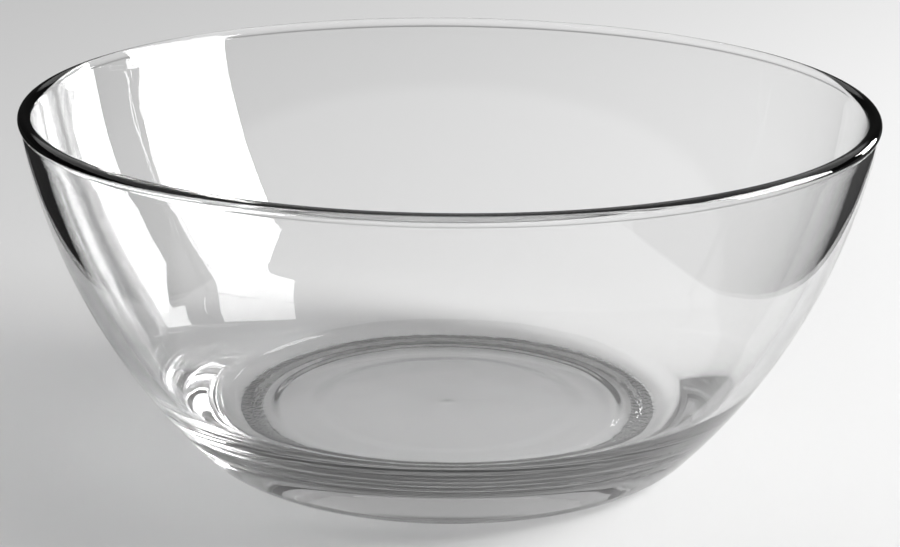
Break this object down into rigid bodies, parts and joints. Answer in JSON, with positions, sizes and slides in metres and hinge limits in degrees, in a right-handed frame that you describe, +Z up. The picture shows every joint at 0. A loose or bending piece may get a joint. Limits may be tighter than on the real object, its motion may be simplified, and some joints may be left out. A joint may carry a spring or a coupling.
{
  "type": "glass bowl",
  "caption": "Round clear glass serving bowl with a rolled rim, a curved flaring wall and a thick base with a stippled, dished underside; holds chips, salad or fruit.",
  "frame": {"origin": "On the bowl's axis, in the plane of the bearing ring that it stands on.", "axes": "+Z points up along the axis of the bowl, out of its mouth. X and Y are alike, because the bowl is round."},
  "size_m": [0.254, 0.254, 0.1073],
  "materials": {
    "clear_glass": "fire-polished, smooth"
  },
  "bodies": {
    "root": {"glass_bowl": "clear_glass"}
  },
  "joints": []
}
